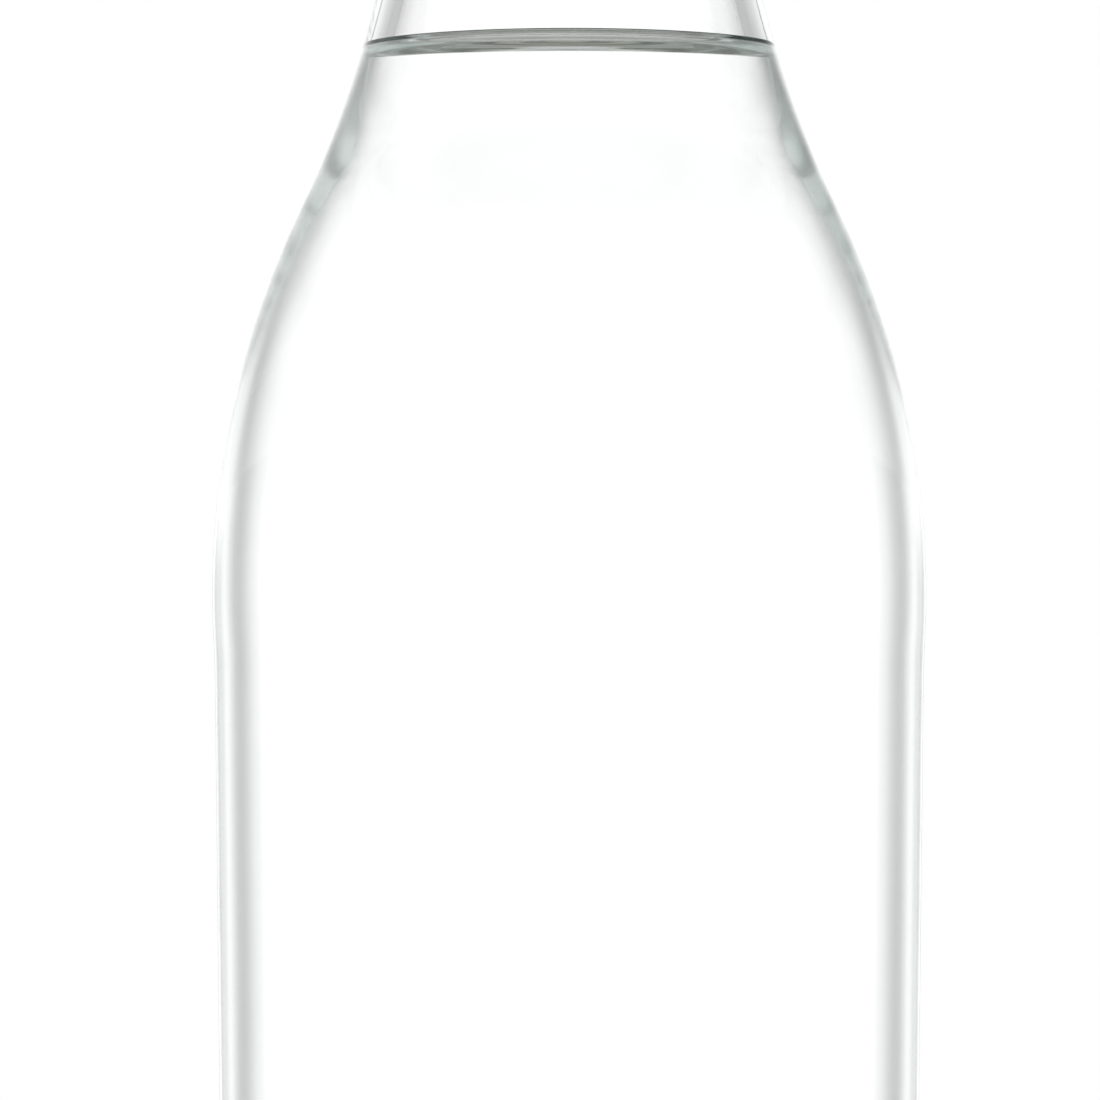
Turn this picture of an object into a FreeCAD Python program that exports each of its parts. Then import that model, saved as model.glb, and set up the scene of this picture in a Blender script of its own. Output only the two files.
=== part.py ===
import FreeCAD, Part
import os
import re

import Sketcher

# A round bottle of clear glass, filled with clear spirit to the neck and closed with a cork that
# has a turned wooden head. A slim body widens a little towards the shoulder, and the shoulder
# runs into the neck as one long S-curve.
#
# Frame: origin at the centre of the base, where the bottle stands, +Z up along the bottle's axis.
# All sizes are in millimetres and degrees. Every outline is drawn on the XZ plane and turned
# about Z.

SIZES = {
    # Outside of the glass, from the foot up
    "punt_depth": 4.0,            # the push-up in the middle of the underside
    "bearing_inner_radius": 26.0,  # the flat ring that the bottle stands on starts here
    "heel_radius": 6.0,           # rounding between the ring and the side
    "body_taper": 0.75,           # lean of the side, slightly wider at the top
    "waist_radius": 60.0,         # hollow bend between the side and the shoulder
    "belly_angle": 3.5,           # how far the shoulder's bend goes on below the widest point
    "body_radius": 38.0,          # the widest point
    "widest_height": 175.8,       # its height above the base
    "shoulder_radius": 94.5,      # outward bend of the shoulder
    "slope_angle": 25.9,          # steepest lean, where shoulder meets neck
    "neck_bend_radius": 107.0,    # inward bend of the neck
    "neck_taper": 5.0,            # lean of the straight top of the neck
    "bottle_height": 290.0,       # height of the rim
    # The finish: the ring and the mouth
    "ring_radius": 16.3,
    "ring_height": 8.0,
    "ring_edge": 1.6,
    "lip_edge": 2.4,
    "mouth_edge": 1.2,
    "bore_radius": 9.6,
    "bore_length": 24.0,
    "bore_flare_angle": 35.0,     # steepest lean below the bore, where it opens into the neck
    # Inside of the glass
    "wall": 3.0,
    "inner_heel_radius": 9.0,
    "floor_height": 8.0,          # thickness of the glass at the edge of the floor
    "floor_dome": 3.5,            # rise of the floor over the punt
    # The spirit
    "fill_height": 230.9,         # level of the flat surface
    "meniscus_rise": 2.4,         # climb of the surface at the glass
    "meniscus_radius": 2.6,
    # The stopper
    "cork_length": 22.0,
    "cork_edge": 1.2,
    "head_radius": 17.0,
    "head_height": 14.0,
    "head_top_edge": 2.6,
    "head_bottom_edge": 0.8,
}

doc = FreeCAD.newDocument("SpiritBottle")
sheet = doc.addObject("Spreadsheet::Sheet", "Sizes")
for row, (word, size) in enumerate(SIZES.items(), start=1):
    sheet.set(f"A{row}", word)
    sheet.set(f"B{row}", str(size))
    sheet.setAlias(f"B{row}", word)
doc.recompute()


def formula(words):
    """The same sum, with every size read from the sheet."""
    return re.sub(r"[a-z_]+", lambda word: "Sizes." + word[0] if word[0] in SIZES else word[0], words)


def value(words):
    """What a sum of sizes comes to now."""
    return float(sheet.evalExpression(formula(words)))


# Points of the glass wall's outline. Each is a pair of sums (x, z). depth is how far the outline
# lies inside the outer face: "0" gives the outer face and "wall" the inner one. The bends of the
# inner face keep the centres of the outer ones.
SHOULDER_X = "(body_radius - shoulder_radius)"
NECK_X = f"({SHOULDER_X} + (shoulder_radius + neck_bend_radius) * cos(slope_angle))"
NECK_Z = "(widest_height + (shoulder_radius + neck_bend_radius) * sin(slope_angle))"
WAIST_X = f"({SHOULDER_X} + (shoulder_radius + waist_radius) * cos(belly_angle))"
WAIST_Z = "(widest_height - (shoulder_radius + waist_radius) * sin(belly_angle))"


def side_top(depth):
    """Upper end of the straight side."""
    reach = f"(waist_radius + {depth})"
    return f"({WAIST_X} - {reach} * cos(body_taper))", f"({WAIST_Z} + {reach} * sin(body_taper))"


def shoulder_foot(depth):
    """Lower end of the shoulder's bend, below the widest point."""
    reach = f"(shoulder_radius - {depth})"
    return f"{SHOULDER_X} + {reach} * cos(belly_angle)", f"widest_height - {reach} * sin(belly_angle)"


def shoulder_top(depth):
    """Upper end of the shoulder's bend, where the neck's bend takes over."""
    reach = f"(shoulder_radius - {depth})"
    return f"{SHOULDER_X} + {reach} * cos(slope_angle)", f"widest_height + {reach} * sin(slope_angle)"


def neck_foot(depth):
    """Lower end of the neck's straight top, where the neck's bend ends."""
    reach = f"(neck_bend_radius + {depth})"
    return f"({NECK_X} - {reach} * cos(neck_taper))", f"({NECK_Z} - {reach} * sin(neck_taper))"


def heel(depth, radius, height):
    """Centre of the rounding between a flat at a height and the straight side, and the
    rounding's upper end on the side."""
    x, z = side_top(depth)
    centre = f"({x} - ({radius} - sin(body_taper) * ({height} + {radius} - {z})) / cos(body_taper))"
    return centre, (f"{centre} + {radius} * cos(body_taper)",
                    f"{height} + {radius} * (1 - sin(body_taper))")


def draw(body, name, outline):
    """A closed sketch on the body's XZ plane. The outline lists corners as (x, z, bend), where
    bend says how the edge to the next corner runs: None is straight, and (radius, side) is an
    arc with its centre on that side, +1 to the left of the way and -1 to the right. Corners and
    radii are bound to the sheet."""
    plane = next(part for part in body.Origin.OriginFeatures if part.Role == "XZ_Plane")
    sketch = body.newObject("Sketcher::SketchObject", name)
    sketch.AttachmentSupport = [(plane, "")]
    sketch.MapMode = "FlatFace"
    corners = [FreeCAD.Vector(value(x), value(z), 0) for x, z, bend in outline]
    ends = []
    for start, end, (x, z, bend) in zip(corners, corners[1:] + corners[:1], outline):
        if bend is None:
            sketch.addGeometry(Part.LineSegment(start, end))
            ends.append((1, 2))
            continue
        radius, side = value(bend[0]), bend[1]
        chord = end - start
        left = FreeCAD.Vector(-chord.y, chord.x, 0).normalize()
        centre = (start + end) * 0.5 + left * side * (radius ** 2 - chord.Length ** 2 / 4) ** 0.5
        first, last = (start, end) if side > 0 else (end, start)
        angles = [FreeCAD.Vector(1, 0, 0).getAngle(corner - centre) for corner in (first, last)]
        angles = [-angle if corner.y < centre.y else angle
                  for angle, corner in zip(angles, (first, last))]
        circle = Part.Circle(centre, FreeCAD.Vector(0, 0, 1), radius)
        sketch.addGeometry(Part.ArcOfCircle(circle, angles[0], angles[1]))
        ends.append((1, 2) if side > 0 else (2, 1))
    count = len(outline)
    for edge in range(count):
        after = (edge + 1) % count
        sketch.addConstraint(
            Sketcher.Constraint("Coincident", edge, ends[edge][1], after, ends[after][0]))
    for edge, (x, z, bend) in enumerate(outline):
        corner = corners[edge]
        for axis, kind, words, now in ((-2, "DistanceX", x, corner.x), (-1, "DistanceY", z, corner.y)):
            if words == "0":
                sketch.addConstraint(Sketcher.Constraint("PointOnObject", edge, ends[edge][0], axis))
                continue
            index = sketch.addConstraint(Sketcher.Constraint(kind, edge, ends[edge][0], now))
            sketch.setExpression(f"Constraints[{index}]", formula(words))
        if bend is not None:
            index = sketch.addConstraint(Sketcher.Constraint("Radius", edge, value(bend[0])))
            sketch.setExpression(f"Constraints[{index}]", formula(bend[0]))
    return sketch


def turn(body, name, kind, outline):
    """Turn an outline once round the bottle's axis, to add or cut material."""
    sketch = draw(body, name + "Outline", outline)
    feature = body.newObject("PartDesign::" + kind, name)
    feature.Profile = sketch
    feature.ReferenceAxis = (sketch, ["V_Axis"])
    feature.Angle = 360
    body.Tip = feature
    doc.recompute()
    return feature


def inner_wall(top_corner):
    """Outline of the inside of the glass from the middle of the floor to a corner in the neck's
    bend, which is the outline's last corner here."""
    centre, heel_top = heel("wall", "inner_heel_radius", "floor_height")
    floor_radius = f"({centre} ^ 2 + floor_dome ^ 2) / (2 * floor_dome)"
    return [
        ("0", "floor_height + floor_dome", (floor_radius, -1)),
        (centre, "floor_height", ("inner_heel_radius", +1)),
        (*heel_top, None),
        (*side_top("wall"), ("waist_radius + wall", -1)),
        (*shoulder_foot("wall"), ("shoulder_radius - wall", +1)),
        (*shoulder_top("wall"), ("neck_bend_radius + wall", -1)),
        top_corner,
    ]


def glass_bottle():
    """The glass, turned from its outer outline and hollowed by its inner one."""
    body = doc.addObject("PartDesign::Body", "GlassBottle")
    body.Label = "glass_bottle"
    centre, heel_top = heel("0", "heel_radius", "0")
    neck_x, neck_z = neck_foot("0")
    ring_foot = "(bottle_height - ring_height)"
    punt_radius = "(bearing_inner_radius ^ 2 + punt_depth ^ 2) / (2 * punt_depth)"
    solid = turn(body, "Outside", "Revolution", [
        ("0", "punt_depth", (punt_radius, -1)),
        ("bearing_inner_radius", "0", None),
        (centre, "0", ("heel_radius", +1)),
        (*heel_top, None),
        (*side_top("0"), ("waist_radius", -1)),
        (*shoulder_foot("0"), ("shoulder_radius", +1)),
        (*shoulder_top("0"), ("neck_bend_radius", -1)),
        (neck_x, neck_z, None),
        (f"{neck_x} - ({ring_foot} - {neck_z}) * tan(neck_taper)", ring_foot, None),
        ("ring_radius - ring_edge", ring_foot, ("ring_edge", +1)),
        ("ring_radius", f"{ring_foot} + ring_edge", None),
        ("ring_radius", "bottle_height - lip_edge", ("lip_edge", +1)),
        ("ring_radius - lip_edge", "bottle_height", None),
        ("0", "bottle_height", None),
    ])
    # Below the bore the inside opens in two equal bends, out and back, into the tapered neck.
    inner_x, inner_z = neck_foot("wall")
    bore_foot = "(bottle_height - bore_length)"
    flare = (f"((cos(neck_taper) * ({inner_x} - bore_radius) + sin(neck_taper) * ({inner_z} - {bore_foot}))"
             " / (1 + cos(neck_taper) - 2 * cos(bore_flare_angle - neck_taper)))")
    inside = turn(body, "Inside", "Groove", inner_wall((inner_x, inner_z, None)) + [
        (f"bore_radius + {flare} * (1 - 2 * cos(bore_flare_angle) + cos(neck_taper))",
         f"{bore_foot} - {flare} * (2 * sin(bore_flare_angle) - sin(neck_taper))", (flare, +1)),
        (f"bore_radius + {flare} * (1 - cos(bore_flare_angle))",
         f"{bore_foot} - {flare} * sin(bore_flare_angle)", (flare, -1)),
        ("bore_radius", bore_foot, None),
        ("bore_radius", "bottle_height - mouth_edge", ("mouth_edge", -1)),
        ("bore_radius + mouth_edge", "bottle_height", None),
        ("0", "bottle_height", None),
    ])
    if inside.Shape.Volume >= solid.Shape.Volume:
        raise RuntimeError("the hollow of the bottle was not cut")
    return body


def spirit():
    """The drink, which fills the glass up to its level and climbs a little at the wall."""
    body = doc.addObject("PartDesign::Body", "Spirit")
    body.Label = "spirit"
    contact_z = "(fill_height + meniscus_rise)"
    contact_x = f"({NECK_X} - sqrt((neck_bend_radius + wall) ^ 2 - ({NECK_Z} - {contact_z}) ^ 2))"
    flat_x = f"{contact_x} - sqrt(meniscus_rise * (2 * meniscus_radius - meniscus_rise))"
    turn(body, "Fill", "Revolution", inner_wall((contact_x, contact_z, ("meniscus_radius", -1))) + [
        (flat_x, "fill_height", None),
        ("0", "fill_height", None),
    ])
    return body


def round_bar(name, label, foot, length, radius):
    """A plain round bar that stands on a height above the base, as a padded circle."""
    body = doc.addObject("PartDesign::Body", name)
    body.Label = label
    plane = next(part for part in body.Origin.OriginFeatures if part.Role == "XY_Plane")
    sketch = body.newObject("Sketcher::SketchObject", name + "Section")
    sketch.AttachmentSupport = [(plane, "")]
    sketch.MapMode = "FlatFace"
    sketch.setExpression("AttachmentOffset.Base.z", formula(foot))
    sketch.addGeometry(Part.Circle(FreeCAD.Vector(), FreeCAD.Vector(0, 0, 1), value(radius)))
    sketch.addConstraint(Sketcher.Constraint("Coincident", 0, 3, -1, 1))
    index = sketch.addConstraint(Sketcher.Constraint("Radius", 0, value(radius)))
    sketch.setExpression(f"Constraints[{index}]", formula(radius))
    pad = body.newObject("PartDesign::Pad", name + "Length")
    pad.Profile = sketch
    pad.setExpression("Length", formula(length))
    body.Tip = pad
    doc.recompute()
    return body


def soften(body, kind, name, height, size):
    """Chamfer or fillet the circle at a height, and bind its size."""
    base = body.Tip
    level = value(height)
    edges = [f"Edge{number}" for number, edge in enumerate(base.Shape.Edges, start=1)
             if abs(edge.BoundBox.ZMin - level) + abs(edge.BoundBox.ZMax - level) < 1e-3]
    feature = body.newObject("PartDesign::" + kind, name)
    feature.Base = (base, edges)
    feature.setExpression("Size" if kind == "Chamfer" else "Radius", formula(size))
    body.Tip = feature
    doc.recompute()


def cork():
    """The shank of the stopper, with a chamfer that leads it into the bore."""
    foot = "bottle_height - cork_length"
    body = round_bar("Cork", "cork", foot, "cork_length", "bore_radius")
    soften(body, "Chamfer", "CorkLead", foot, "cork_edge")
    return body


def stopper_head():
    """The turned wooden head that rests on the rim, with softened edges."""
    body = round_bar("StopperHead", "stopper_head", "bottle_height", "head_height", "head_radius")
    soften(body, "Fillet", "HeadTopEdge", "bottle_height + head_height", "head_top_edge")
    soften(body, "Fillet", "HeadBottomEdge", "bottle_height", "head_bottom_edge")
    return body


pieces = [glass_bottle(), spirit(), cork(), stopper_head()]
doc.recompute()

for item in doc.Objects:
    if "Invalid" in item.State or "Error" in item.State:
        raise RuntimeError(f"{item.Name} failed: {item.State}")
for piece in pieces:
    if piece.Shape.isNull() or not piece.Shape.isValid() or len(piece.Shape.Solids) != 1:
        raise RuntimeError(f"{piece.Label} is not one valid solid")

os.makedirs("parts", exist_ok=True)
for piece in pieces:
    piece.Shape.exportStep(f"parts/{piece.Label}.step")
    box = piece.Shape.BoundBox
    print(f"{piece.Label}: {piece.Shape.Volume / 1000:.1f} cm3, z {box.ZMin:.2f} to {box.ZMax:.2f},"
          f" radius {box.XMax:.2f}")
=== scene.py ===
# %% [markdown]
# # A bottle of clear spirit
#
# This notebook dresses a tall round bottle: thick clear glass, a colourless drink that climbs a
# little up the glass at its edge, a natural cork and a turned wooden head. The construction model
# gives the sizes. Here each piece gets its fine shape and its finish, and the bottle gets the
# kind of light that glass needs.

# %% Load the construction model
import math

import bpy
import numpy as np
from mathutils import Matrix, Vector


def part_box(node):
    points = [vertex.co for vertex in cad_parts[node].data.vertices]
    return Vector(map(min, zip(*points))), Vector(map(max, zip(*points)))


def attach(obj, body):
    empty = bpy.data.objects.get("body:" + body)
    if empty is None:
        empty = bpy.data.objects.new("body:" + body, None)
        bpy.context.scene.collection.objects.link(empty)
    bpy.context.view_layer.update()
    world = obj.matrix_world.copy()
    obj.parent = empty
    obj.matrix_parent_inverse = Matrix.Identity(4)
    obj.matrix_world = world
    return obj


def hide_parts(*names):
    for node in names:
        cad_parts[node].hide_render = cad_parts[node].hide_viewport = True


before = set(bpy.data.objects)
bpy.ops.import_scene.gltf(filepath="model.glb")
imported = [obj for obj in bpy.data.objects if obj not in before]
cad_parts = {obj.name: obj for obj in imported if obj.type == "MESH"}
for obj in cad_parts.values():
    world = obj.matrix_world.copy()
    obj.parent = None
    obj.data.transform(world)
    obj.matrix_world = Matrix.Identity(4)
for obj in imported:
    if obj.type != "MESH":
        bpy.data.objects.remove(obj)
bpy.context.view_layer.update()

# %% [markdown]
# ## Sizes
#
# A glassmaker draws a bottle as one outline that is turned about an axis. The outline is a chain
# of straight lines and round bends, each tangent to the next, so a few radii and angles say it
# all. They are written once here, in millimetres and degrees, and turned into metres by one
# factor. The bends of the inner face have the same centres as those of the outer face, only their
# radii differ by the thickness of the wall.

# %% Sizes of the bottle
MM = 0.001
FOOT_RING = 26.0 * MM        # inner edge of the ring that the bottle stands on
PUNT_DEPTH = 4.0 * MM        # push-up of the underside
HEEL = 6.0 * MM
SIDE_LEAN = 0.75             # degrees, the side is a little wider at the top
WAIST_BEND = 60.0 * MM
BELLY_ANGLE = 3.5
BODY = 38.0 * MM             # radius at the widest point
WIDEST = 175.8 * MM          # height of the widest point
SHOULDER_BEND = 94.5 * MM
SLOPE = 25.9                 # steepest lean, between shoulder and neck
NECK_BEND = 107.0 * MM
NECK_LEAN = 5.0
WALL = 3.0 * MM
INNER_HEEL = 9.0 * MM
FLOOR = 8.0 * MM
FLOOR_DOME = 3.5 * MM
BORE = 9.6 * MM
BORE_LENGTH = 24.0 * MM
FLARE_ANGLE = 35.0
MOUTH_EDGE = 1.2 * MM
RING = 16.3 * MM
RING_HEIGHT = 8.0 * MM
RING_EDGE = 1.6 * MM
LIP_EDGE = 2.4 * MM
LEVEL = 230.9 * MM           # flat surface of the drink

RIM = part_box("glass_bottle")[1][2]
HEAD_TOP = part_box("stopper_head")[1][2]
CORK_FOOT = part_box("cork")[0][2]
print("rim at", round(RIM / MM, 2), "mm, top of the stopper at", round(HEAD_TOP / MM, 2), "mm")

# %% [markdown]
# ## Lines and bends
#
# Two helpers give the points of an outline as whole arrays: a straight run and a round bend. An
# outline could also be a Bezier curve, but points from a formula stay exact, and the inner face
# can follow the outer one at a fixed distance.


# %% Helpers for outlines
def cosd(angle):
    return math.cos(math.radians(angle))


def sind(angle):
    return math.sin(math.radians(angle))


def bend(centre, radius, start, end, steps):
    """Points on a circle: centre + radius * (cos a, sin a), for a from start to end degrees."""
    a = np.radians(np.linspace(start, end, steps))
    return np.stack([centre[0] + radius * np.cos(a), centre[1] + radius * np.sin(a)], axis=1)


def run(start, end, steps):
    """Points on a straight line: start + t * (end - start), for t from 0 to 1."""
    t = np.linspace(0, 1, steps)[:, None]
    return np.array(start) + t * (np.array(end) - np.array(start))


def join(*stretches):
    """One outline from stretches that meet end to end, with each shared point kept once."""
    points = np.concatenate(stretches)
    step = np.linalg.norm(np.diff(points, axis=0), axis=1)
    return points[np.concatenate([[True], step > 1e-7])]


SHOULDER_X = BODY - SHOULDER_BEND
NECK_CENTRE = (SHOULDER_X + (SHOULDER_BEND + NECK_BEND) * cosd(SLOPE),
               WIDEST + (SHOULDER_BEND + NECK_BEND) * sind(SLOPE))
WAIST_CENTRE = (SHOULDER_X + (SHOULDER_BEND + WAIST_BEND) * cosd(BELLY_ANGLE),
                WIDEST - (SHOULDER_BEND + WAIST_BEND) * sind(BELLY_ANGLE))


def heel(depth, radius, height):
    """Centre of the round corner between a flat at a height and the side at a depth in the wall."""
    reach = WAIST_BEND + depth
    x = WAIST_CENTRE[0] - reach * cosd(SIDE_LEAN)
    z = WAIST_CENTRE[1] + reach * sind(SIDE_LEAN)
    return x - (radius - sind(SIDE_LEAN) * (height + radius - z)) / cosd(SIDE_LEAN), height + radius


def body_wall(depth, radius, height, neck_end=NECK_LEAN):
    """The wall from the heel's flat up into the neck, at a depth below the outer face. The neck's
    bend stops where its lean has come down to neck_end degrees."""
    corner = heel(depth, radius, height)
    low = bend(corner, radius, -90, -SIDE_LEAN, 14)
    waist = bend(WAIST_CENTRE, WAIST_BEND + depth, 180 - SIDE_LEAN, 180 - BELLY_ANGLE, 4)
    return join(low, run(low[-1], waist[0], 34), waist,
                bend((SHOULDER_X, WIDEST), SHOULDER_BEND - depth, -BELLY_ANGLE, SLOPE, 34),
                bend(NECK_CENTRE, NECK_BEND + depth, 180 + SLOPE, 180 + neck_end, 28))


print("outer wall has", len(body_wall(0, HEEL, 0)), "points")

# %% [markdown]
# ## Surfaces of revolution
#
# A turned piece is a grid: one direction follows the outline, the other goes round the axis. The
# Screw modifier or the Spin tool would make the same grid, but only the grid as numbers lets the
# next steps push single places in and out, such as the mould seam, by a formula. Outlines that
# start or end on the axis close there with a fan of triangles.


# %% Helper for turned pieces
def make_piece(name, vertices, faces, material, smooth=True):
    """A mesh object at the origin from vertex and face arrays, with one material."""
    mesh = bpy.data.meshes.new(name)
    mesh.from_pydata(vertices.tolist(), [], faces)
    mesh.materials.append(material)
    mesh.polygons.foreach_set("use_smooth", np.full(len(mesh.polygons), smooth))
    mesh.update()
    piece = bpy.data.objects.new(name, mesh)
    bpy.context.scene.collection.objects.link(piece)
    return piece


def turn(name, outline, angles, material, shape=None):
    """Turn an outline about Z: point = (r cos v, r sin v, z). The outline starts and ends on the
    axis and runs with the solid on its left. shape(r, z, v) may return new r and z for the grid."""
    r, z = outline[1:-1, 0][:, None], outline[1:-1, 1][:, None]
    v = angles[None, :]
    r, z = r + 0 * v, z + 0 * v
    if shape is not None:
        r, z = shape(r, z, v)
    grid = np.stack([r * np.cos(v), r * np.sin(v), z], axis=2).reshape(-1, 3)
    rows, around = r.shape
    poles = np.array([[0, 0, outline[0, 1]], [0, 0, outline[-1, 1]]])
    here = np.arange(around)
    there = (here + 1) % around
    row = np.arange(rows - 1)[:, None] * around
    quads = np.stack([row + here, row + there, row + around + there, row + around + here], axis=2)
    first, last = rows * around, rows * around + 1
    end = (rows - 1) * around
    fans = [(first, int(b), int(a)) for a, b in zip(here, there)]
    fans += [(last, int(end + a), int(end + b)) for a, b in zip(here, there)]
    return make_piece(name, np.concatenate([grid, poles]), quads.reshape(-1, 4).tolist() + fans,
                      material)

# %% [markdown]
# ## Where the points go round the bottle
#
# Even steps round the axis are enough for smooth glass. A mould seam is only half a millimetre
# wide, so a few more steps stand close together at the two places where the halves of the mould
# met, left and right of the front.

# %% Angles round the axis
AROUND = 304
SEAMS = (0.0, math.pi)
even = np.arange(AROUND) * 2 * math.pi / AROUND
close_steps = np.array([-0.9, -0.6, -0.35, -0.15, 0.15, 0.35, 0.6, 0.9]) * MM / BODY
angles = np.unique(np.concatenate([even] + [(seam + close_steps) % (2 * math.pi) for seam in SEAMS]))
print(len(angles), "steps round the axis")

# %% [markdown]
# ## Materials: effects that several finishes share
#
# Nothing made by hand or mould has one even finish. A node group called *Uneven* gives a value
# that drifts over the surface between two limits, with its own size of patch. Each finish places
# it with other numbers: as smudges on glass, as tone in wood, as grain in cork.


# %% Node helpers
def new_material(name):
    """An empty node material; returns it with its tree and its output node."""
    material = bpy.data.materials.new(name)
    material.use_nodes = True
    tree = material.node_tree
    tree.nodes.clear()
    return material, tree, tree.nodes.new("ShaderNodeOutputMaterial")


def node(tree, kind, values=(), **settings):
    """A node with its settings and its input values; a socket as a value is linked."""
    made = tree.nodes.new("ShaderNode" + kind)
    for name, setting in settings.items():
        setattr(made, name, setting)
    for name, value in dict(values).items():
        if isinstance(value, bpy.types.NodeSocket):
            tree.links.new(value, made.inputs[name])
        else:
            made.inputs[name].default_value = value
    return made


def uneven_group():
    """Node group: a value that wanders between Low and High, in patches of 1 / Scale metres."""
    group = bpy.data.node_groups.new("Uneven", "ShaderNodeTree")
    for name, kind, default in (("Vector", "NodeSocketVector", None), ("Scale", "NodeSocketFloat", 50.0),
                                ("Detail", "NodeSocketFloat", 3.0), ("Low", "NodeSocketFloat", 0.0),
                                ("High", "NodeSocketFloat", 1.0)):
        socket = group.interface.new_socket(name=name, in_out="INPUT", socket_type=kind)
        if default is not None:
            socket.default_value = default
    group.interface.new_socket(name="Value", in_out="OUTPUT", socket_type="NodeSocketFloat")
    given = group.nodes.new("NodeGroupInput").outputs
    noise = node(group, "TexNoise", {"Vector": given["Vector"], "Scale": given["Scale"],
                                     "Detail": given["Detail"], "Roughness": 0.55})
    spread = node(group, "MapRange", {"Value": noise.outputs["Fac"], "From Min": 0.3, "From Max": 0.7,
                                      "To Min": given["Low"], "To Max": given["High"]})
    result = group.nodes.new("NodeGroupOutput")
    group.links.new(spread.outputs["Result"], result.inputs["Value"])
    return group


UNEVEN = uneven_group()


def uneven(tree, vector, scale, low, high, detail=3.0):
    """Place the Uneven group; returns its value."""
    made = tree.nodes.new("ShaderNodeGroup")
    made.node_tree = UNEVEN
    tree.links.new(vector, made.inputs["Vector"])
    for name, value in (("Scale", scale), ("Low", low), ("High", high), ("Detail", detail)):
        made.inputs[name].default_value = value
    return made.outputs["Value"]


print("shared node group:", UNEVEN.name)

# %% [markdown]
# ## Finish: clear glass
#
# Flint glass is almost free of colour. Its tint shows only where a long way through the glass
# adds up, at the edges and in the thick base, so the tint is a volume that absorbs a little red
# and blue, not a colour on the surface. The surface itself is fire polished, with very slight
# waves left from the mould. Light from lamps is let straight through, which keeps the shadow of
# the bottle as light as that of real glass.


# %% Material for glass and drink
def clear_material(name, ior, wave_scale, wave_height, shadow, smudge=0.0, tint=None, density=0.0):
    """A smooth clear solid: refraction by its index, tint by its depth, faint waves and a few
    smudges, outside of which it is fully smooth."""
    material, tree, output = new_material(name)
    where = node(tree, "TexCoord").outputs["Object"]
    waves = uneven(tree, where, wave_scale, 0.0, 1.0, detail=1.0)
    bump = node(tree, "Bump", {"Height": waves, "Strength": 1.0, "Distance": wave_height})
    body = node(tree, "BsdfPrincipled", {
        "Base Color": (1, 1, 1, 1), "IOR": ior, "Transmission Weight": 1.0,
        "Normal": bump.outputs["Normal"]})
    if smudge:
        patches = node(tree, "MapRange", {"Value": uneven(tree, where, 55.0, 0.0, 1.0, detail=4.0),
                                          "From Min": 0.66, "From Max": 0.85, "To Max": smudge})
        tree.links.new(patches.outputs["Result"], body.inputs["Roughness"])
    else:
        body.inputs["Roughness"].default_value = 0.0
    through = node(tree, "BsdfTransparent", {"Color": (shadow, shadow, shadow, 1)})
    path = node(tree, "LightPath")
    mix = node(tree, "MixShader", {0: path.outputs["Is Shadow Ray"], 1: body.outputs["BSDF"],
                                   2: through.outputs["BSDF"]})
    tree.links.new(mix.outputs["Shader"], output.inputs["Surface"])
    if tint:
        depth = node(tree, "VolumeAbsorption", {"Color": (*tint, 1), "Density": density})
        tree.links.new(depth.outputs["Volume"], output.inputs["Volume"])
    return material


GLASS = clear_material("clear_glass", ior=1.52, wave_scale=45.0, wave_height=0.00002, shadow=0.93,
                       smudge=0.03, tint=(0.62, 0.81, 0.76), density=4.0)
SPIRIT = clear_material("clear_spirit", ior=1.36, wave_scale=60.0, wave_height=0.000005, shadow=0.98)

# %% [markdown]
# ## The glass
#
# The outer face comes from a polished mould and is true. The inner face was only ever touched by
# air, so the wall is a little thicker in some places than in others. That is what bends the lines
# seen through a bottle, so it is made as shape: the inner face is pushed in and out by a few slow
# waves that differ with height and direction. The two mould halves leave a fine raised seam, and
# the ring under the heel is notched, so that a hot bottle doesn't stick to the belt.


# %% The inner face is uneven
SWELL = 0.10 * MM


def swell(z, v):
    """How far the inner face stands proud of its true place: slow waves in height and angle,
    cos(n v + a) * cos(z / length + b), faded out near the bore and the floor."""
    waves = (0.45 * np.cos(v + 0.6) * np.cos(z / (38 * MM) + 0.4)
             + 0.35 * np.cos(2 * v + 2.1) * np.cos(z / (21 * MM) + 1.9)
             + 0.20 * np.cos(3 * v + 4.0) * np.cos(z / (13 * MM) + 0.8))
    fade = (np.clip((z - FLOOR - 10 * MM) / (20 * MM), 0, 1)
            * np.clip((RIM - 34 * MM - z) / (20 * MM), 0, 1))
    return SWELL * waves * fade


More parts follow.
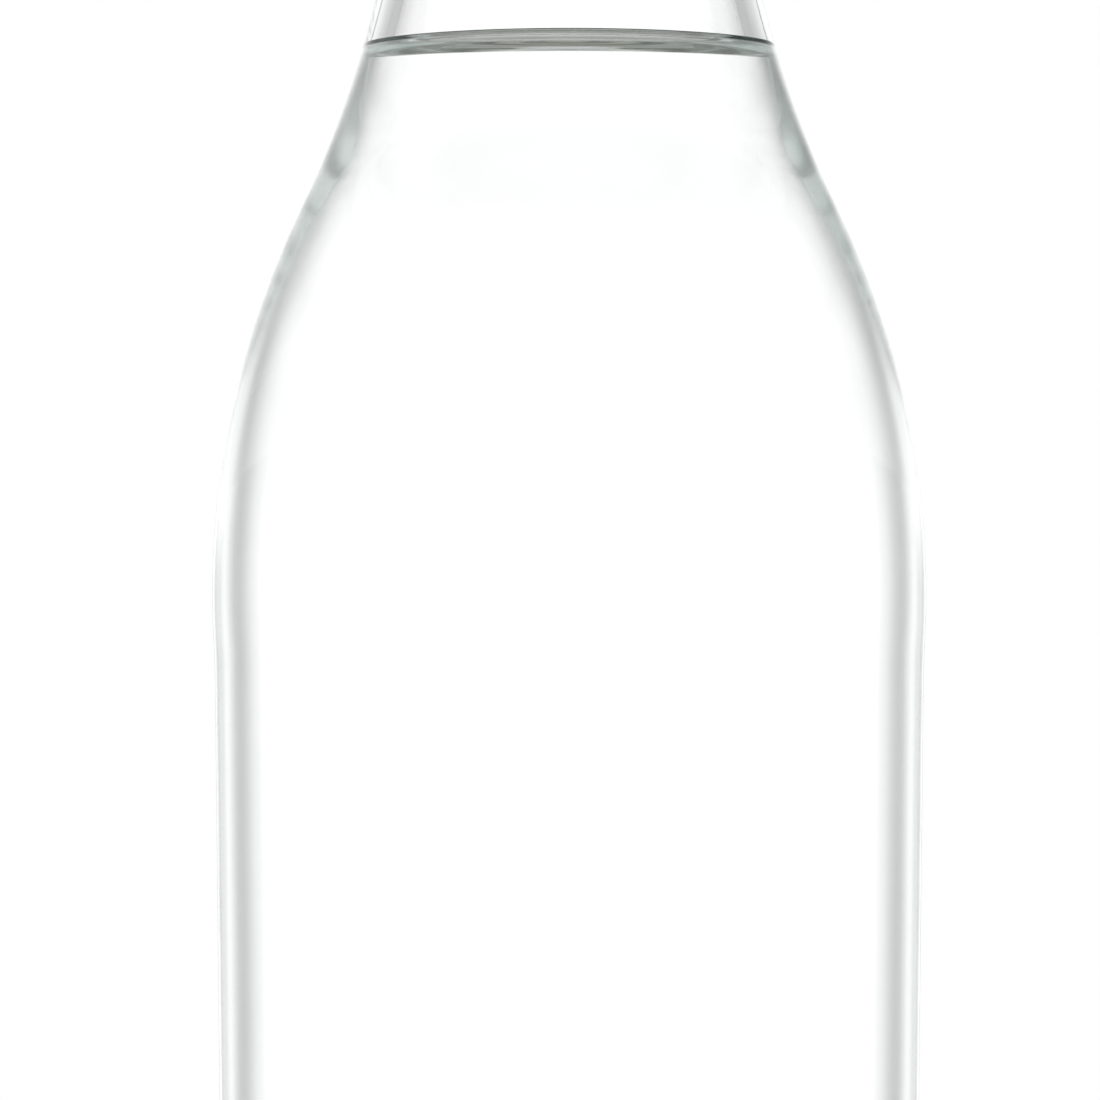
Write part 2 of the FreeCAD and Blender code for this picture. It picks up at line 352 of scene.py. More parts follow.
# %% Outline of the glass, from under the base over the rim to the floor inside
def glass_outline():
    """The closed outline of the glass, and for each point whether it is on the inner face."""
    punt_bend = (FOOT_RING ** 2 + PUNT_DEPTH ** 2) / (2 * PUNT_DEPTH)
    punt_angle = math.degrees(math.acos(FOOT_RING / punt_bend))
    punt = bend((0, PUNT_DEPTH - punt_bend), punt_bend, 90, punt_angle, 14)
    ring_foot = RIM - RING_HEIGHT
    outer = body_wall(0, HEEL, 0)
    neck_top = (outer[-1, 0] - (ring_foot - outer[-1, 1]) * math.tan(math.radians(NECK_LEAN)), ring_foot)
    ring = join(bend((RING - RING_EDGE, ring_foot + RING_EDGE), RING_EDGE, -90, 0, 8),
                bend((RING - LIP_EDGE, RIM - LIP_EDGE), LIP_EDGE, 0, 90, 10))
    mouth = bend((BORE + MOUTH_EDGE, RIM - MOUTH_EDGE), MOUTH_EDGE, 90, 180, 7)
    inner = body_wall(WALL, INNER_HEEL, FLOOR)
    bore_foot = RIM - BORE_LENGTH
    flare = ((cosd(NECK_LEAN) * (inner[-1, 0] - BORE) + sind(NECK_LEAN) * (inner[-1, 1] - bore_foot))
             / (1 + cosd(NECK_LEAN) - 2 * cosd(FLARE_ANGLE - NECK_LEAN)))
    upper = bend((BORE + flare, bore_foot), flare, 180, 180 + FLARE_ANGLE, 10)
    lower = bend((BORE + flare - 2 * flare * cosd(FLARE_ANGLE), bore_foot - 2 * flare * sind(FLARE_ANGLE)),
                 flare, FLARE_ANGLE, NECK_LEAN, 10)
    corner = heel(WALL, INNER_HEEL, FLOOR)[0]
    floor_bend = (corner ** 2 + FLOOR_DOME ** 2) / (2 * FLOOR_DOME)
    floor_angle = math.degrees(math.acos(corner / floor_bend))
    floor = bend((0, FLOOR + FLOOR_DOME - floor_bend), floor_bend, floor_angle, 90, 14)
    outside = join(punt, run(punt[-1], outer[0], 3), outer, run(outer[-1], neck_top, 8),
                   run(neck_top, ring[0], 3), ring, run(ring[-1], mouth[0], 3))
    inside = join(mouth, run(mouth[-1], upper[0], 8), upper, lower,
                  run(lower[-1], inner[-1], 6), inner[::-1], floor)
    outline = join(outside, inside)
    return outline, np.arange(len(outline)) >= len(outside)


outline, is_inner = glass_outline()
print("glass outline:", len(outline), "points,", int(is_inner.sum()), "of them inside")


# %% Seams, foot notches and the uneven inner face
SEAM_HEIGHT = 0.06 * MM
SEAM_WIDTH = 0.28 * MM
SEAM_SINK = 0.075 * MM       # how far the face beside the seam lies inside the full radius
NOTCHES = 76
NOTCH_DEPTH = 0.25 * MM
NOTCHED_RING = 28.5 * MM     # radius at the middle of the ring that the notches cut
NOTCHED_REACH = 3.5 * MM     # how far the notches run to either side of it


def dress_glass(r, z, v):
    """Outer face: a seam of SEAM_HEIGHT exp(-(distance / SEAM_WIDTH)^2) at two angles, on a
    face sunk by SEAM_SINK, and notches (1 - cos(76 v)) / 2 under the foot ring. Inner face: the
    swell."""
    inner = is_inner[1:-1][:, None]
    off_seam = np.minimum(np.abs(np.sin(v)) * BODY, 1.0)
    on_side = np.clip((z - 3 * MM) / (3 * MM), 0, 1) * np.clip((RIM - RING_HEIGHT - z) / (2 * MM), 0, 1)
    seam = (SEAM_HEIGHT * np.exp(-(off_seam / SEAM_WIDTH) ** 2) - SEAM_SINK) * on_side
    on_ring = np.clip(1 - np.abs(r - NOTCHED_RING) / NOTCHED_REACH, 0, 1) * (z < 3 * MM)
    notch = NOTCH_DEPTH * (1 - np.cos(NOTCHES * v)) / 2 * np.minimum(2 * on_ring, 1)
    return np.where(inner, r - swell(z, v), r + seam), np.where(inner, z, z + notch)


glass = turn("bottle_glass", outline, angles, GLASS, dress_glass)
print("bottle_glass:", sum(len(p.vertices) - 2 for p in glass.data.polygons), "triangles")

# %% [markdown]
# ## The drink
#
# A liquid in a glass has no gap to the wall, and a renderer needs to be told so. The drink's skin
# therefore lies a tenth of a millimetre inside the glass wall. A ray then enters the drink before
# it leaves the glass, and is bent as it should be. The top isn't flat to the edge: the liquid is
# drawn up the wall by its surface tension. The height of that curve is
# z = 2 L sin(a / 2) where the surface leans by a, and L is the capillary length, 1.8 mm for
# spirit. Spirit wets glass fully, so at its edge the surface lies along the wall. The wall leans
# in by 15 degrees there, so the surface leans by 90 + 15 degrees.

# %% The drink with its climbing edge
CAPILLARY = 1.8 * MM
WETTING_LEAN = 105.0         # degrees from level, at the glass
INTO_WALL = 0.10 * MM


def climbing_edge(steps):
    """Distance from the wall and height over the level, from the wall inwards:
    z = 2 L sin(a / 2), d = L (ln tan(A/4) + 2 cos(A/2) - ln tan(a/4) - 2 cos(a/2)), with a from
    the lean A at the wall down to nearly 0."""
    a = np.radians(WETTING_LEAN * np.linspace(1, 0.02, steps) ** 1.5)
    away = np.log(np.tan(a / 4)) + 2 * np.cos(a / 2)
    return CAPILLARY * (away[0] - away), 2 * CAPILLARY * np.sin(a / 2)


def spirit_outline():
    """From the middle of the floor up the wall to the edge, and in to the middle of the level."""
    depth = WALL - INTO_WALL
    away, climb = climbing_edge(26)
    edge_z = LEVEL + climb[0]
    lean = math.degrees(math.asin((NECK_CENTRE[1] - edge_z) / (NECK_BEND + depth)))
    wall = body_wall(depth, INNER_HEEL + INTO_WALL, FLOOR - INTO_WALL, neck_end=lean)
    corner = heel(WALL, INNER_HEEL, FLOOR)[0]
    floor_bend = (corner ** 2 + FLOOR_DOME ** 2) / (2 * FLOOR_DOME)
    floor_angle = math.degrees(math.acos(corner / floor_bend))
    floor = bend((0, FLOOR - INTO_WALL + FLOOR_DOME - floor_bend), floor_bend, 90, floor_angle, 12)
    surface = np.stack([wall[-1, 0] - away, LEVEL + climb], axis=1)
    sides = join(floor, wall)
    return join(sides, surface, run(surface[-1], (0, LEVEL), 10)), len(sides) - 1


drink_outline, wall_points = spirit_outline()


def dress_spirit(r, z, v):
    """The skin at the glass follows its uneven inner face. The level is stretched to match."""
    at_glass = np.arange(1, len(r) + 1)[:, None] < wall_points
    moved = swell(z, v)
    return np.where(at_glass, r - moved, r * (1 - moved / drink_outline[wall_points, 0])), z


drink = turn("clear_drink", drink_outline, angles, SPIRIT, dress_spirit)
print("clear_drink:", sum(len(p.vertices) - 2 for p in drink.data.polygons), "triangles")

# %% [markdown]
# ## The cork
#
# The shank of the stopper is natural cork, punched from bark. Its sides show the bark's breathing
# pores as small pits, cut at random. They are pressed into the mesh here, and each point
# remembers how deep it lies in a pit, which lets the finish darken the pits later. The shank
# reaches a tenth of a millimetre into the glass, because it is squeezed into the bore and touches
# it all round. The pits are shallower than that, so that no silvery speck of air shows between
# cork and glass.

# %% Shape of the cork
CORK_EDGE = 1.2 * MM
SQUEEZE = 0.10 * MM
DEEPEST = 0.09 * MM
CORK_STEPS = np.arange(200) * 2 * math.pi / 200
random = np.random.default_rng(7)
PORES = 60
pore_angle = random.uniform(0, 2 * math.pi, PORES)
pore_height = random.uniform(CORK_FOOT + 0.5 * MM, RIM, PORES)
pore_width = random.uniform(0.3, 1.3, PORES) * MM
pore_depth = random.uniform(0.03, 0.09, PORES) * MM


def pits(z, v):
    """Depth of the pores at each point: the sum of depth * exp(-(across / width)^2 -
    (up / (0.4 width))^2) over all pores, and no more than DEEPEST."""
    turn_to = (v[..., None] - pore_angle + math.pi) % (2 * math.pi) - math.pi
    across = turn_to * BORE / pore_width
    up = (z[..., None] - pore_height) / (0.4 * pore_width)
    return np.minimum((pore_depth * np.exp(-across ** 2 - up ** 2)).sum(axis=-1), DEEPEST)


def dress_cork(r, z, v):
    """The side of the cork is pushed in by the pits; the ends stay flat."""
    on_side = np.clip((r - BORE + 2 * CORK_EDGE) / CORK_EDGE, 0, 1)
    return r - pits(z, v + 0 * z) * on_side, z


# %% [markdown]
# ## Finish: natural cork
#
# Cork is a warm tan with darker flecks and veins. An uneven value mixes three tones, small dark
# flecks lie over them, and the pits are stained brown. It has no shine at all.


# %% Material for cork
def cork_material():
    """Tan with veins and flecks, dark in the pits, matt."""
    material, tree, output = new_material("natural_cork")
    where = node(tree, "TexCoord").outputs["Object"]
    squashed = node(tree, "Mapping", {"Vector": where, "Scale": (1.0, 1.0, 0.8)})
    tone = node(tree, "ValToRGB", {"Fac": uneven(tree, squashed.outputs["Vector"], 420.0, 0.0, 1.0, 5.0)})
    ramp = tone.color_ramp
    ramp.elements[0].color = (0.34, 0.19, 0.09, 1)
    ramp.elements[1].color = (0.66, 0.45, 0.26, 1)
    ramp.elements.new(0.45).color = (0.55, 0.35, 0.18, 1)
    flecks = node(tree, "TexVoronoi", {"Vector": where, "Scale": 520.0})
    fleck = node(tree, "MapRange", {"Value": flecks.outputs["Distance"], "From Min": 0.10,
                                    "From Max": 0.32, "To Min": 0.35, "To Max": 1.0})
    pit = node(tree, "Attribute", attribute_name="pit")
    stain = node(tree, "MapRange", {"Value": pit.outputs["Fac"], "From Min": 0.0,
                                    "From Max": 0.07, "To Min": 1.0, "To Max": 0.12})
    dark = node(tree, "Math", {0: fleck.outputs["Result"], 1: stain.outputs["Result"]},
                operation="MULTIPLY")
    colour = node(tree, "Mix", {"Factor": dark.outputs["Value"], "A": (0.16, 0.08, 0.035, 1),
                                "B": tone.outputs["Color"]}, data_type="RGBA")
    grain = node(tree, "Bump", {"Height": uneven(tree, where, 1500.0, 0.0, 1.0), "Strength": 0.6,
                                "Distance": 0.15 * MM})
    body = node(tree, "BsdfPrincipled", {"Base Color": colour.outputs["Result"],
                                         "Roughness": 0.85, "Normal": grain.outputs["Normal"]})
    tree.links.new(body.outputs["BSDF"], output.inputs["Surface"])
    return material


cork_radius = BORE + SQUEEZE
cork_outline = join(run((0, CORK_FOOT), (cork_radius - CORK_EDGE, CORK_FOOT), 8),
                    run((cork_radius - CORK_EDGE, CORK_FOOT), (cork_radius, CORK_FOOT + CORK_EDGE), 5),
                    run((cork_radius, CORK_FOOT + CORK_EDGE), (cork_radius, RIM), 90),
                    run((cork_radius, RIM), (0, RIM), 4))
cork = turn("cork_shank", cork_outline, CORK_STEPS, cork_material(), dress_cork)
place = np.empty(len(cork.data.vertices) * 3)
cork.data.vertices.foreach_get("co", place)
place = place.reshape(-1, 3)
pit_depth = pits(place[:, 2], np.arctan2(place[:, 1], place[:, 0]))
cork.data.attributes.new("pit", "FLOAT", "POINT").data.foreach_set("value", pit_depth / MM)
print("cork_shank:", PORES, "pores, deepest", round(float(pit_depth.max()) / MM, 2), "mm")

# %% [markdown]
# ## The wooden head
#
# The head is turned on a lathe from a plank. Its edges are rounded to suit the fingers, a thin
# groove runs round it, and the top is very slightly hollow, as it is left by the tool. The Bevel
# modifier could round the edges of a cylinder, but the groove and the hollow belong to the same
# outline, so all of it is drawn as one.

# %% Shape of the head
HEAD = (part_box("stopper_head")[1][0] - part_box("stopper_head")[0][0]) / 2
HEAD_TOP_EDGE = 2.6 * MM
HEAD_FOOT_EDGE = 0.8 * MM
GROOVE_UP = 4.0 * MM
GROOVE = 0.45 * MM
HOLLOW = 0.25 * MM


def head_outline():
    """From the middle of the underside round the side to the middle of the top."""
    foot = bend((HEAD - HEAD_FOOT_EDGE, RIM + HEAD_FOOT_EDGE), HEAD_FOOT_EDGE, -90, 0, 7)
    groove = bend((HEAD + 0.2 * GROOVE, RIM + GROOVE_UP), 1.2 * GROOVE, 260, 100, 9)
    groove[:, 0] = np.minimum(groove[:, 0], HEAD)
    shoulder = bend((HEAD - HEAD_TOP_EDGE, HEAD_TOP - HEAD_TOP_EDGE), HEAD_TOP_EDGE, 0, 90, 14)
    r = np.linspace(shoulder[-1, 0], 0, 14)
    top = np.stack([r, HEAD_TOP - HOLLOW * (1 - (r / r[0]) ** 2) ** 2], axis=1)
    return join(run((0, RIM), foot[0], 10), foot, run(foot[-1], groove[0], 5), groove,
                run(groove[-1], shoulder[0], 8), shoulder, top)


# %% [markdown]
# ## Finish: turned hardwood
#
# Wood is made of growth rings, which are cylinders round the heart of the tree. If the finish
# copies that in space, the lines on the top, the long grain on two sides and the end grain on the
# other two all fit together without any further work. The heart lies a few centimetres outside
# the head, as the plank was cut beside it. Fine fibres and a satin oil finish go on top.


# %% Material for wood
def wood_material():
    """Growth rings round a heart line beside the piece, with fibres along it and a satin shine."""
    material, tree, output = new_material("turned_wood")
    where = node(tree, "TexCoord").outputs["Object"]
    plank = node(tree, "Mapping", {"Vector": where, "Location": (0.045, 0.0, -RIM + 0.03),
                                   "Rotation": (0.0, math.radians(4), 0.0)})
    along = node(tree, "Mapping", {"Vector": plank.outputs["Vector"], "Scale": (1.0, 0.12, 1.0)})
    rings = node(tree, "TexWave", {"Vector": along.outputs["Vector"], "Scale": 130.0, "Distortion": 2.2,
                                   "Detail": 3.0, "Detail Scale": 0.6}, wave_type="RINGS",
                 rings_direction="Y", wave_profile="SAW")
    tone = node(tree, "ValToRGB", {"Fac": rings.outputs["Fac"]})
    ramp = tone.color_ramp
    ramp.elements[0].color = (0.46, 0.27, 0.125, 1)
    ramp.elements[1].color = (0.27, 0.135, 0.055, 1)
    ramp.elements.new(0.7).color = (0.41, 0.23, 0.10, 1)
    fibre = uneven(tree, along.outputs["Vector"], 2600.0, 0.72, 1.12, 4.0)
    patch = uneven(tree, where, 60.0, 0.9, 1.08)
    both = node(tree, "Math", {0: fibre, 1: patch}, operation="MULTIPLY")
    colour = node(tree, "Mix", {"Factor": 1.0, "A": tone.outputs["Color"]}, data_type="RGBA",
                  blend_type="MULTIPLY")
    grey = node(tree, "CombineColor", {"Red": both.outputs["Value"], "Green": both.outputs["Value"],
                                       "Blue": both.outputs["Value"]})
    tree.links.new(grey.outputs["Color"], colour.inputs["B"])
    relief = node(tree, "Bump", {"Height": fibre, "Strength": 0.35, "Distance": 0.05 * MM})
    body = node(tree, "BsdfPrincipled", {
        "Base Color": colour.outputs["Result"], "Normal": relief.outputs["Normal"],
        "Roughness": uneven(tree, where, 240.0, 0.36, 0.5)})
    tree.links.new(body.outputs["BSDF"], output.inputs["Surface"])
    return material


head = turn("wooden_head", head_outline(), np.arange(224) * 2 * math.pi / 224, wood_material())
print("wooden_head:", len(head.data.vertices), "points")

# %% [markdown]
# ## Pieces join the frame
#
# Every piece hides the construction solid that it stands for and is attached to the body that it moves
# with.
# The bottle has no joint, so there is one body.

# %% Ride and replace
for piece, solid, finish in ((glass, "glass_bottle", "clear_glass"), (drink, "spirit", "clear_spirit"),
                             (cork, "cork", "natural_cork"), (head, "stopper_head", "turned_wood")):
    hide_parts(solid)
    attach(piece, "root")
print("pieces:", [piece.name for piece in (glass, drink, cork, head)])

# %% [markdown]
# ## The studio: what clear glass sees
#
# Clear glass has next to no colour of its own, so what it shows is what stands round it. The
# usual way is bright field: a white field straight behind the bottle, and grey cards beside it,
# just out of sight. The round body works as a strong lens, so its middle shows the white field,
# and close to its edges the cards appear as thin grey lines that draw the outline. Here the cards
# are painted into the floor and the world, and only rays that come from glass see them. Both use
# the same group of nodes, which takes a direction and gives the cards' darkness. The diagonal
# cards stand at the four corners and draw the body's lines. The upper ones hang above them and
# give the neck and the shoulder their tone. The axis cards lie close by on the floor, for the
# lines of the thick base.

# %% The cards round the bottle
CARD_TONE = (0.18, 0.195, 0.19)
# Each stop is an angle in degrees, from the front or back to the side, and the darkness there.
CARDS = ((0, 0.0), (34, 0.0), (38, 0.06), (41, 0.22), (44, 0.47), (47, 0.74), (49.5, 0.82), (52, 0.66),
         (55, 0.38), (60, 0.30), (66, 0.12), (70, 0.0))
UPPER_CARDS = ((0, 0.45), (18, 0.45), (26, 0.54), (44, 0.54), (56, 0.58), (72, 0.58), (84, 0.15),
               (90, 0.10))
AXIS_CARDS = ((0, 0.6), (5, 0.5), (10, 0.0), (80, 0.0), (85, 0.5), (90, 0.6))


def math_node(tree, operation, *values):
    """One Math node; returns its value."""
    return node(tree, "Math", dict(enumerate(values)), operation=operation).outputs["Value"]


def cards_group():
    """Node group: darkness of the diagonal, the upper and the axis cards in a direction from the
    bottle. The angle atan(|x| / |y|) folds all four quarters onto one."""
    group = bpy.data.node_groups.new("Cards", "ShaderNodeTree")
    group.interface.new_socket(name="Direction", in_out="INPUT", socket_type="NodeSocketVector")
    for name in ("Diagonal", "Upper", "Axis"):
        group.interface.new_socket(name=name, in_out="OUTPUT", socket_type="NodeSocketFloat")
    given = group.nodes.new("NodeGroupInput").outputs
    part = node(group, "SeparateXYZ", {"Vector": given["Direction"]}).outputs
    angle = math_node(group, "ARCTAN2", math_node(group, "ABSOLUTE", part["X"]),
                      math_node(group, "ABSOLUTE", part["Y"]))
    share = math_node(group, "DIVIDE", angle, math.pi / 2)
    result = group.nodes.new("NodeGroupOutput")
    for name, stops in (("Diagonal", CARDS), ("Upper", UPPER_CARDS), ("Axis", AXIS_CARDS)):
        made = node(group, "ValToRGB", {"Fac": share})
        ramp = made.color_ramp
        while len(ramp.elements) < len(stops):
            ramp.elements.new(1.0)
        for element, (degrees, value) in zip(ramp.elements, stops):
            element.position, element.color = degrees / 90, (value, value, value, 1)
        group.links.new(made.outputs["Color"], result.inputs[name])
    return group


CARDS_GROUP = cards_group()


def cards(tree, direction):
    """Place the Cards group; returns its outputs."""
    made = tree.nodes.new("ShaderNodeGroup")
    made.node_tree = CARDS_GROUP
    tree.links.new(direction, made.inputs["Direction"])
    return made.outputs


def between(tree, value, low, high, to_low=0.0, to_high=1.0):
    """Smooth step of a value from one limit to another; returns the result."""
    return node(tree, "MapRange", {"Value": value, "From Min": low, "From Max": high, "To Min": to_low,
                                   "To Max": to_high}, interpolation_type="SMOOTHSTEP").outputs["Result"]


DEEP = 32.5                  # light that met glass more often than this was caught in a wall
CAUGHT_PAINTED_TONE = 0.87             # painted light: the flat brightness that a caught ray sees at its end, on the floor or in the world


def caught(tree):
    """1 for a ray that went round inside the wall for long, and 0 for other rays."""
    return math_node(tree, "GREATER_THAN", node(tree, "LightPath").outputs["Ray Depth"], DEEP)


def seen_from_glass(tree):
    """1 for a ray that last met glass or a mirror on its way from the eye, and 0 for other rays."""
    path = node(tree, "LightPath").outputs
    straight = math_node(tree, "LESS_THAN", path["Diffuse Depth"], 0.5)
    return math_node(tree, "MULTIPLY", straight,
                     math_node(tree, "MAXIMUM", path["Is Glossy Ray"], path["Is Transmission Ray"]))


print("cards:", [stop[0] for stop in CARDS], "degrees")

# %% [markdown]
# ## The floor
#
# The floor is plain and pale. For the eye it turns into the white background with distance, and
# it keeps the shadow of the bottle. Seen through the glass it turns white sooner, and straight
# behind the bottle a white sheet brings the field nearer still. The level of the drink is a
# mirror from below: it shows the floor right under the bottle, where a dark patch is painted for
# rays from glass as painted shadow of the bottle. That makes the dark line of the level.

# %% Floor
FLOOR_RADIUS = 2.2
FLOOR_COLOUR = 0.86
FADE = (0.45, 1.5)           # for the eye, the floor turns white between these radii
GLASS_FADE = (0.30, 1.00)    # for rays from glass, it does so here
SHEET_FADE = (0.24, 0.40)    # straight behind the bottle lies a white sheet that starts here
SHEET_SIDES = (0.66, 0.88)   # cosines of the angles from straight behind, at which it ends
FIELD = 1.2                  # strength of the white field behind glass, which takes a tenth away
# Painted shadow: a dark tone painted on the floor under the bottle, seen only by rays from glass.
PAINTED_SHADOW_TONE = (0.25, 0.27, 0.235)
PAINTED_SHADOW_RADII = (0.038, 0.110)       # radii over which the painted shadow under the bottle ends
RING_PAINTED_SHADOW_SHARE = 0.3              # how much of the painted shadow's brightness is left under the ring that the bottle stands on
RING_START = (0.018, 0.026)
RING_END = (0.036, 0.044)
CARD_START = (0.28, 0.36)    # the diagonal cards begin between these radii
CARD_RISE = (0.30, 0.90)     # and grow from faint to full between these
CARD_FAINT = 0.4
AXIS_START = (0.10, 0.16)
AXIS_END = (0.22, 0.32)


def floor_material():
    """Pale matt floor that fades into white with distance; for rays from glass it shows the painted cards,
    a painted shadow under the bottle and painted light for caught rays.
    """
    material, tree, output = new_material("studio_floor")
    where = node(tree, "TexCoord").outputs["Object"]
    away = node(tree, "VectorMath", {0: where}, operation="LENGTH").outputs["Value"]
    card = cards(tree, where)
    glassy = seen_from_glass(tree)
    eye = node(tree, "LightPath").outputs["Is Camera Ray"]

    ground = node(tree, "BsdfPrincipled", {"Base Color": (FLOOR_COLOUR,) * 3 + (1,), "Roughness": 0.6,
                                           "Specular IOR Level": 0.2}).outputs["BSDF"]
    white = node(tree, "Emission", {"Color": (1, 1, 1, 1), "Strength": 1.0}).outputs["Emission"]
    field = node(tree, "Emission", {"Color": (1, 1, 1, 1), "Strength": FIELD}).outputs["Emission"]
    grey = node(tree, "Emission", {"Color": (*CARD_TONE, 1), "Strength": FIELD}).outputs["Emission"]
    # Painted shadow under the bottle for rays from glass: a dark emission, darkest under the foot ring.
    ring = math_node(tree, "MULTIPLY", between(tree, away, *RING_START),
                     between(tree, away, *RING_END, 1.0, 0.0))
    ring = between(tree, ring, 0.0, 1.0, FIELD, FIELD * RING_PAINTED_SHADOW_SHARE)
    under = node(tree, "Emission", {"Color": (*PAINTED_SHADOW_TONE, 1), "Strength": ring}).outputs["Emission"]
    # Painted light for caught rays: the floor glows with a flat tone, whatever lies there.
    caught_glow = node(tree, "Emission", {"Color": (1, 1, 1, 1), "Strength": CAUGHT_PAINTED_TONE}).outputs["Emission"]

    def mixed(factor, first, second):
        return node(tree, "MixShader", {0: factor, 1: first, 2: second}).outputs["Shader"]

    diagonal = math_node(tree, "MULTIPLY", card["Diagonal"],
                         between(tree, away, *CARD_RISE, CARD_FAINT, 1.0))
    diagonal = math_node(tree, "MULTIPLY", diagonal, between(tree, away, *CARD_START))
    axis = math_node(tree, "MULTIPLY", card["Axis"], between(tree, away, *AXIS_START))
    axis = math_node(tree, "MULTIPLY", axis, between(tree, away, *AXIS_END, 1.0, 0.0))
    behind = math_node(tree, "DIVIDE", node(tree, "SeparateXYZ", {"Vector": where}).outputs["Y"], away)
    sheet = math_node(tree, "MULTIPLY", between(tree, away, *SHEET_FADE),
                      between(tree, behind, *SHEET_SIDES))
    far = between(tree, away, *GLASS_FADE)
    in_glass = mixed(math_node(tree, "MAXIMUM", sheet, far), ground, field)
    in_glass = mixed(math_node(tree, "MAXIMUM", diagonal, axis), in_glass, grey)
    # Painted shadow under the bottle, for rays from glass.
    in_glass = mixed(between(tree, away, *PAINTED_SHADOW_RADII, 1.0, 0.0), in_glass, under)
    # Painted light for caught rays.
    in_glass = mixed(caught(tree), in_glass, caught_glow)
    for_eye = mixed(math_node(tree, "MULTIPLY", eye, between(tree, away, *FADE)), ground, white)
    tree.links.new(mixed(glassy, for_eye, in_glass), output.inputs["Surface"])
    return material


floor_steps = np.arange(96) * 2 * math.pi / 96
disc = np.stack([FLOOR_RADIUS * np.cos(floor_steps), FLOOR_RADIUS * np.sin(floor_steps),
                 np.full(96, -0.0002)], axis=1)
floor = make_piece("floor", disc, [list(range(96))], floor_material(), smooth=False)
print("floor radius", FLOOR_RADIUS, "m")

# %% [markdown]
# ## The world
#
# Matt things get plain even light from all sides. The eye sees white. Rays from glass see the
# white field with the painted cards, a little greyer above the height of the bottle, and a dim
# painted ceiling. Two more painted cards are there only for what the outer face mirrors at once:
# a flag high on the right, whose painted reflection makes one shoulder darker than the other, and
# a strip on either side, whose painted reflection draws the outline of the body.

# %% World
HIGHER = (0.09, 0.27)        # sines of the heights over which the field turns greyer
CEILING = (0.45, 0.75)
CEILING_TONE = (0.04, 0.045, 0.04)
CEILING_SHARE = 0.85
FLAG_START = (0.02, 0.18)    # how far to the right the flag starts
FLAG_FOOT = (0.18, 0.28)
FLAG_SHARE = 0.9
STRIP_START = (0.15, 0.28)
STRIP_END = (0.40, 0.52)
STRIP_TOP = (0.05, 0.10)
STRIP_SHARE = 0.7
PLAIN_LIGHT = 0.65           # strength of the even light on matt things


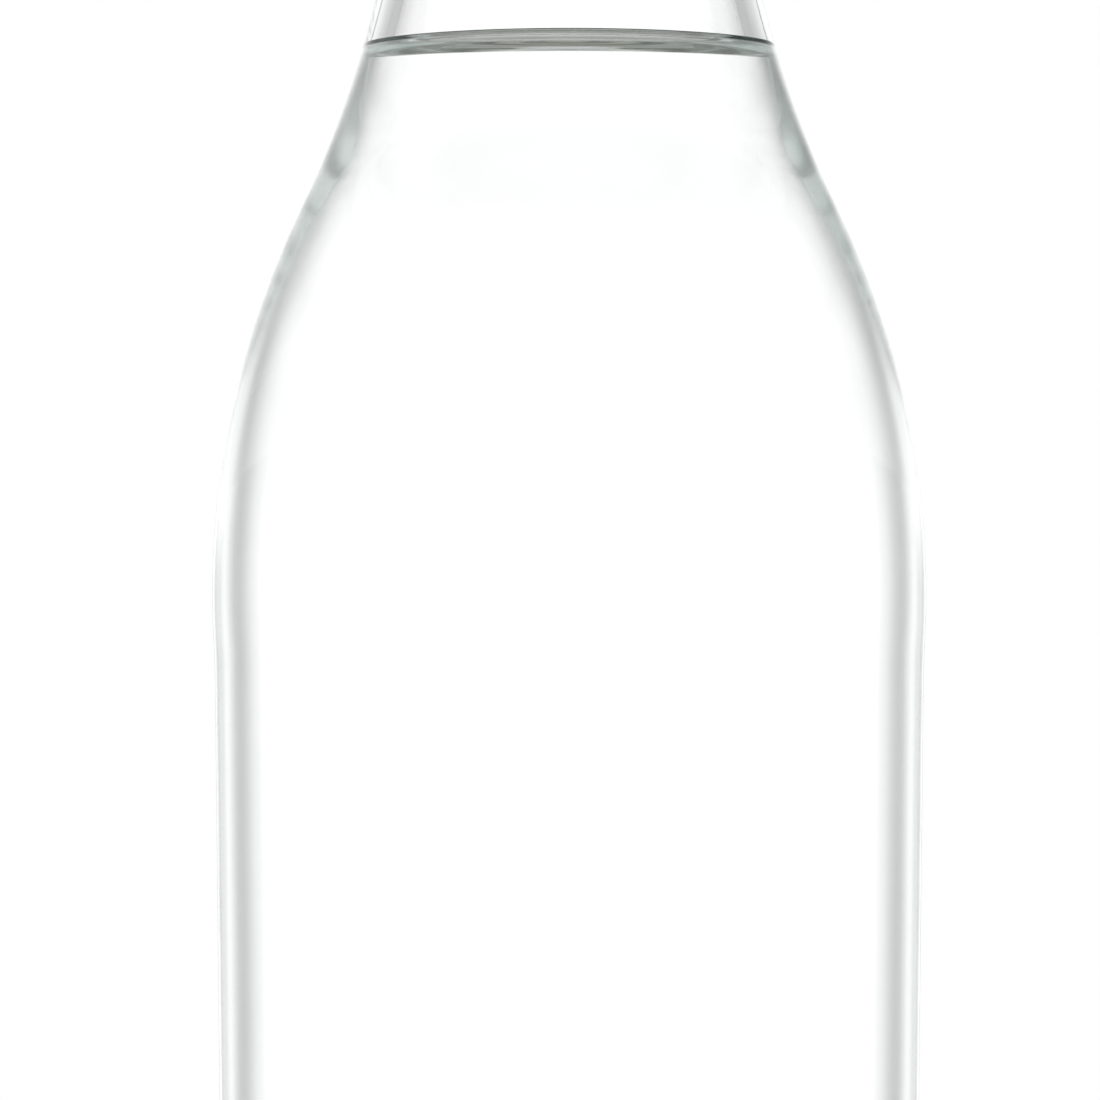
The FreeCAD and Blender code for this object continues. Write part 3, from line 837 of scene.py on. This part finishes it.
def studio_world():
    """Plain light for matt things, white for the eye, and for glass the field with its painted cards and
    ceiling, painted reflections, and painted light for caught rays.
    """
    world = bpy.data.worlds.new("studio")
    bpy.context.scene.world = world
    world.use_nodes = True
    tree = world.node_tree
    tree.nodes.clear()
    direction = node(tree, "TexCoord").outputs["Generated"]
    up = node(tree, "SeparateXYZ", {"Vector": direction}).outputs["Z"]
    card = cards(tree, direction)
    low = math_node(tree, "MULTIPLY", card["Diagonal"], between(tree, up, *HIGHER, 1.0, 0.0))
    high = math_node(tree, "MULTIPLY", card["Upper"], between(tree, up, *HIGHER))

    def mixed(factor, first, second):
        return node(tree, "Mix", {"Factor": factor, "A": first, "B": second},
                    data_type="RGBA").outputs["Result"]

    tone = mixed(high, (1, 1, 1, 1), (0, 0, 0, 1))
    tone = mixed(low, tone, (*CARD_TONE, 1))
    tone = mixed(between(tree, up, *CEILING, 0.0, CEILING_SHARE), tone, (*CEILING_TONE, 1))
    path = node(tree, "LightPath").outputs
    # The world counts a ray that was mirrored once as depth 2.
    mirrored = math_node(tree, "MULTIPLY", path["Is Glossy Ray"],
                         math_node(tree, "LESS_THAN", path["Ray Depth"], 2.5))
    # Painted reflection: a flag on the right and a strip on either side, seen only in the first mirror of
    # the outer face.
    side = node(tree, "SeparateXYZ", {"Vector": direction}).outputs["X"]
    flag = math_node(tree, "MULTIPLY", between(tree, side, *FLAG_START, 0.0, FLAG_SHARE),
                     between(tree, up, *FLAG_FOOT))
    aside = math_node(tree, "ABSOLUTE", side)
    strip = math_node(tree, "MULTIPLY", between(tree, aside, *STRIP_START),
                      between(tree, aside, *STRIP_END, 1.0, 0.0))
    strip = math_node(tree, "MULTIPLY", strip, between(tree, up, *STRIP_TOP, STRIP_SHARE, 0.0))
    both = math_node(tree, "MULTIPLY", math_node(tree, "ADD", flag, strip), mirrored)
    tone = mixed(both, tone, (*CARD_TONE, 1))
    # Painted light for caught rays: a flat tone in place of the world.
    tone = mixed(caught(tree), tone, (CAUGHT_PAINTED_TONE / FIELD,) * 3 + (1,))
    shown = node(tree, "Background", {"Color": tone, "Strength": FIELD})
    plain = node(tree, "Background", {"Color": (1, 1, 1, 1), "Strength": PLAIN_LIGHT})
    white = node(tree, "Background", {"Color": (1, 1, 1, 1), "Strength": 1.0})
    unseen = node(tree, "MixShader", {0: seen_from_glass(tree), 1: plain.outputs["Background"],
                                      2: shown.outputs["Background"]})
    last = node(tree, "MixShader", {0: path["Is Camera Ray"], 1: unseen.outputs["Shader"],
                                    2: white.outputs["Background"]})
    output = tree.nodes.new("ShaderNodeOutputWorld")
    tree.links.new(last.outputs["Shader"], output.inputs["Surface"])


studio_world()
print("field strength", FIELD)

# %% [markdown]
# ## The lamp
#
# One large round softbox, high at the front left, gives the wood, the cork and the floor their
# light and shade. A face that leans by an angle mirrors what stands twice as high. The shoulder
# leans by 26 degrees, so the softbox hangs higher than 55 degrees, where the shoulder doesn't
# mirror it into an eye beside the bottle.


# %% Lamp
def aim(thing, at):
    """Turn a lamp or camera so that it looks at a point."""
    way = Vector(at) - thing.location
    thing.rotation_euler = way.to_track_quat("-Z", "Y").to_euler()


lamp_data = bpy.data.lights.new("softbox", "AREA")
lamp_data.shape, lamp_data.size, lamp_data.energy = "DISK", 0.9, 25.0
lamp = bpy.data.objects.new("softbox", lamp_data)
lamp.visible_transmission = False
lamp.location = (-0.7, -0.6, 2.5)
bpy.context.scene.collection.objects.link(lamp)
aim(lamp, (0, 0, 0.12))
print("softbox", lamp_data.energy, "W")

# %% [markdown]
# ## Camera
#
# A long lens from a little over a metre keeps the outline nearly free of perspective. The camera
# stands a little over a third of the bottle's height above the floor and looks slightly up at the
# shoulder. The level of the drink is then seen from below, so its front edge bows up in the
# middle.

# %% Camera
scene = bpy.context.scene
DISTANCE = 1.2
VIEW_WIDTH = 117.1 * MM      # what the camera takes in at the bottle's axis
EYE_HEIGHT = 112.0 * MM
AIM = (-2.05 * MM, 0.0, 180.3 * MM)
camera_data = bpy.data.cameras.new("camera")
camera_data.sensor_width = 36.0
camera = bpy.data.objects.new("camera", camera_data)
camera.location = (AIM[0], -DISTANCE, EYE_HEIGHT)
aim(camera, AIM)
camera_data.lens = camera_data.sensor_width * math.dist(camera.location, AIM) / VIEW_WIDTH
scene.collection.objects.link(camera)
scene.camera = camera
scene.view_settings.view_transform = "Standard"
# Light caught in the wall of the shoulder mirrors many times before it leaves.
scene.cycles.max_bounces = scene.cycles.glossy_bounces = scene.cycles.transmission_bounces = 160
print("lens", round(camera_data.lens), "mm")
